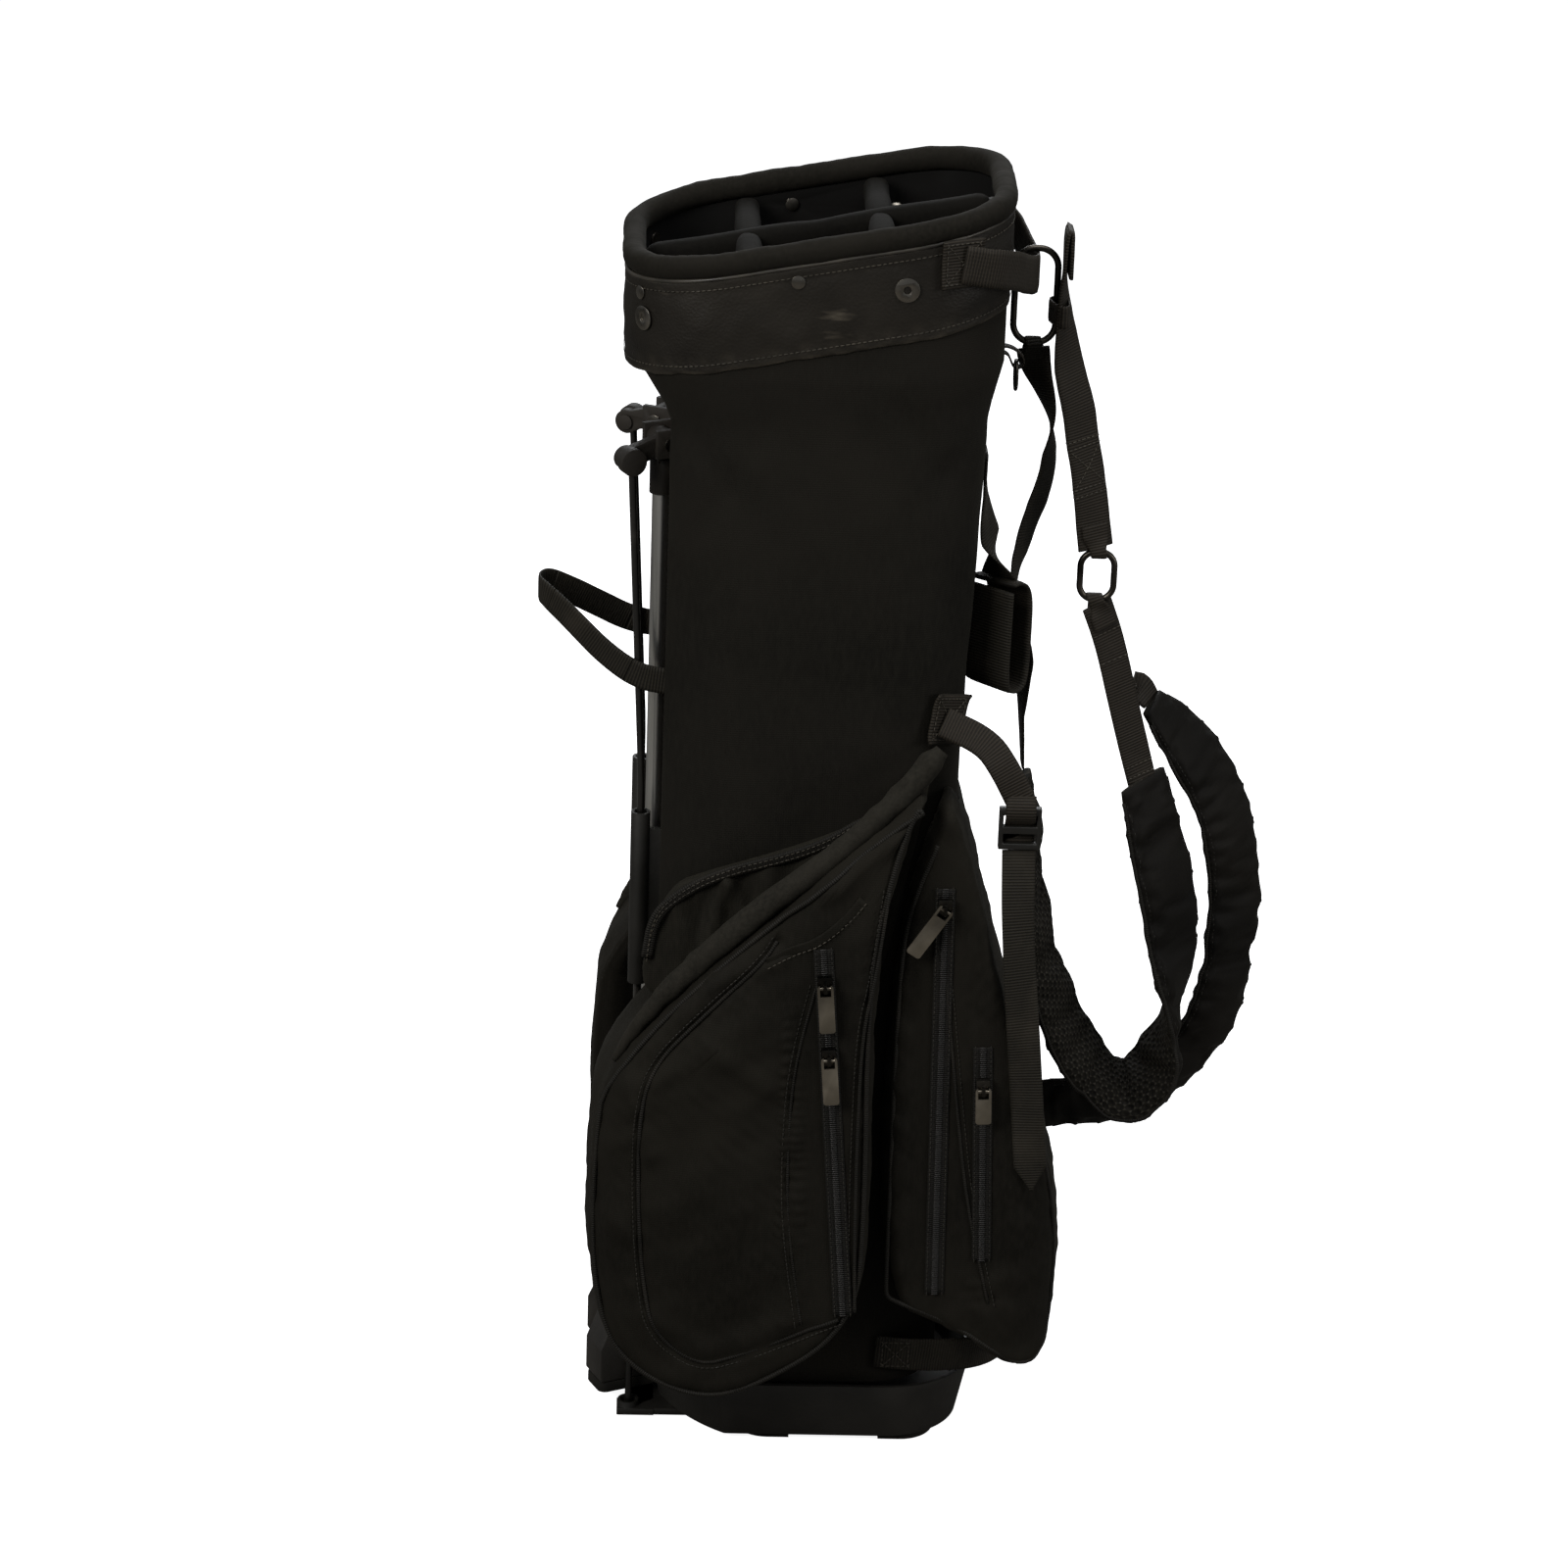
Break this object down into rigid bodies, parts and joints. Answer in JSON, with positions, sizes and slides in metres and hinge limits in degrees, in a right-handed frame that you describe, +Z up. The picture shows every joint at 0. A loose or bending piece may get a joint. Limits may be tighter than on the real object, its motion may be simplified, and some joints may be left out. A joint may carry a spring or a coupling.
{
  "type": "golf stand bag",
  "caption": "Fabric golf stand bag on a moulded base, with a slanted padded divider cuff, side pockets, a ball pocket, a double shoulder strap and folding legs driven by a heel plate.",
  "frame": {"origin": "on the floor under the middle of the cuff, on the underside of the rubber sole", "axes": "+Z up, +X towards the shoulder strap, -X towards the legs, -Y towards the side with the ball pocket"},
  "size_m": [0.4961, 0.312, 0.8843],
  "materials": {
    "black_nylon": "woven matte nylon",
    "cuff_vinyl": "worn grained vinyl",
    "rim_knit": "matte padded knit",
    "air_mesh": "spacer mesh over foam",
    "webbing": "ribbed webbing",
    "black_plastic": "moulded, slightly rough",
    "grey_plastic": "moulded light grey",
    "rubber_black": "matte",
    "silver_alloy": "satin drawn tube",
    "black_steel": "gloss black",
    "plated_steel": "nickel plate, dulled",
    "glass_fibre": "pultruded strip"
  },
  "bodies": {
    "bag": {"base_cup": "black_plastic", "base_tread": "rubber_black", "heel_hinge_pin": "plated_steel", "body_shell": "black_nylon", "spine_stays": "glass_fibre", "collar_ring": "black_plastic", "collar_band": "cuff_vinyl", "rim_roll": "rim_knit", "divider_frame": "black_plastic", "divider_padding": "rim_knit", "divider_panels": "rim_knit", "collar_rivets": "plated_steel", "collar_bolts": "plated_steel", "hub_bracket": "grey_plastic", "hub_screws": "plated_steel", "leg_pivot_pins": "plated_steel", "rod_guides": "black_plastic", "leg_strap": "webbing", "ball_pocket": "black_nylon", "pocket_gussets": "black_nylon", "pocket_rolls": "rim_knit", "zip_tapes": "webbing", "upper_anchors": "webbing", "top_ring": "plated_steel", "strap_ring": "plated_steel", "strap_webbing_upper": "webbing", "strap_webbing_lower": "webbing", "strap_webbing_rear": "webbing", "shoulder_pad_inner": "air_mesh", "shoulder_pad_outer": "air_mesh", "lower_anchor": "webbing", "strap_buckle": "black_plastic", "grab_handle": "webbing", "base_handle": "webbing", "side_pocket_near": "black_nylon", "side_pocket_far": "black_nylon"},
    "leg_right": {"leg_head_right": "black_plastic", "leg_tube_right": "silver_alloy", "leg_foot_right": "grey_plastic", "foot_sole_right": "rubber_black"},
    "leg_left": {"leg_head_left": "black_plastic", "leg_tube_left": "silver_alloy", "leg_foot_left": "grey_plastic", "foot_sole_left": "rubber_black"},
    "rod_right": {"actuator_rod_right": "black_steel", "rod_end_right": "black_plastic"},
    "rod_left": {"actuator_rod_left": "black_steel", "rod_end_left": "black_plastic"},
    "heel_plate": {"heel_plate": "black_plastic"},
    "tag_ring": {"tag_ring": "plated_steel"},
    "strap_tail": {"strap_tail": "webbing"},
    "pocket_upper_slider": {"pocket_upper_slider": "plated_steel"},
    "pocket_upper_pull": {"pocket_upper_pull": "plated_steel"},
    "pocket_lower_slider": {"pocket_lower_slider": "plated_steel"},
    "pocket_lower_pull": {"pocket_lower_pull": "plated_steel"},
    "ball_slider": {"ball_slider": "plated_steel"},
    "ball_pull": {"ball_pull": "plated_steel"},
    "accessory_slider": {"accessory_slider": "plated_steel"},
    "accessory_pull": {"accessory_pull": "plated_steel"}
  },
  "joints": [
    {"name": "leg_right_swing", "type": "hinge", "parent": "bag", "child": "leg_right", "pos_m": [-0.098, -0.025, 0.706], "axis": [-0.4226, 0.9063, 0], "range_deg": [0, 35], "deforming": ["leg_strap"]},
    {"name": "leg_left_swing", "type": "hinge", "parent": "bag", "child": "leg_left", "pos_m": [-0.098, 0.025, 0.706], "axis": [0.4226, 0.9063, 0], "range_deg": [0, 35]},
    {"name": "rod_right_slide", "type": "slide", "parent": "bag", "child": "rod_right", "axis": [0, 0, 1], "range_m": [0, 0.01685]},
    {"name": "rod_left_slide", "type": "slide", "parent": "bag", "child": "rod_left", "axis": [0, 0, 1], "range_m": [0, 0.01685]},
    {"name": "heel_plate_hinge", "type": "hinge", "parent": "bag", "child": "heel_plate", "pos_m": [-0.046, 0, 0.012], "axis": [0, 1, 0], "range_deg": [0, 15.88]},
    {"name": "pocket_upper_slide", "type": "slide", "parent": "bag", "child": "pocket_upper_slider", "axis": [0.0818, 0, -0.9966], "range_m": [-0.018, 0.008]},
    {"name": "pocket_upper_pull_hinge", "type": "hinge", "parent": "pocket_upper_slider", "child": "pocket_upper_pull", "pos_m": [0.01596, -0.1597, 0.37608], "axis": [-0.9966, 0, -0.0818], "range_deg": [0, 120]},
    {"name": "pocket_lower_slide", "type": "slide", "parent": "bag", "child": "pocket_lower_slider", "axis": [0.0818, 0, -0.9966], "range_m": [0, 0.165]},
    {"name": "pocket_lower_pull_hinge", "type": "hinge", "parent": "pocket_lower_slider", "child": "pocket_lower_pull", "pos_m": [0.02022, -0.1597, 0.32426], "axis": [-0.9966, 0, -0.0818], "range_deg": [0, 120]},
    {"name": "ball_slide", "type": "slide", "parent": "bag", "child": "ball_slider", "axis": [0.0168, 0, -0.9999], "range_m": [0, 0.23]},
    {"name": "ball_pull_hinge", "type": "hinge", "parent": "ball_slider", "child": "ball_pull", "pos_m": [0.0942, -0.1297, 0.42], "axis": [-0.8383, 0, 0.5452], "range_deg": [0, 120]},
    {"name": "accessory_slide", "type": "slide", "parent": "bag", "child": "accessory_slider", "axis": [0.0379, 0, -0.9993], "range_m": [-0.02, 0.09]},
    {"name": "accessory_pull_hinge", "type": "hinge", "parent": "accessory_slider", "child": "accessory_pull", "pos_m": [0.12506, -0.1297, 0.29002], "axis": [-0.9993, 0, -0.0379], "range_deg": [0, 120]},
    {"name": "tag_ring_swing", "type": "hinge", "parent": "bag", "child": "tag_ring", "pos_m": [0.132, -0.008, 0.7596], "axis": [0, -1, 0], "range_deg": [-10, 50]},
    {"name": "strap_tail_swing", "type": "hinge", "parent": "bag", "child": "strap_tail", "pos_m": [0.142, -0.106, 0.4539], "axis": [-1, 0, 0], "range_deg": [0, 70]}
  ],
  "couplings": [
    {"joint": "leg_left_swing", "follows": "leg_right_swing", "ratio": 1},
    {"joint": "rod_right_slide", "follows": "leg_right_swing", "m_per_rad": 0.027567},
    {"joint": "rod_left_slide", "follows": "leg_right_swing", "m_per_rad": 0.027567},
    {"joint": "heel_plate_hinge", "follows": "leg_right_swing", "ratio": 0.45336}
  ]
}
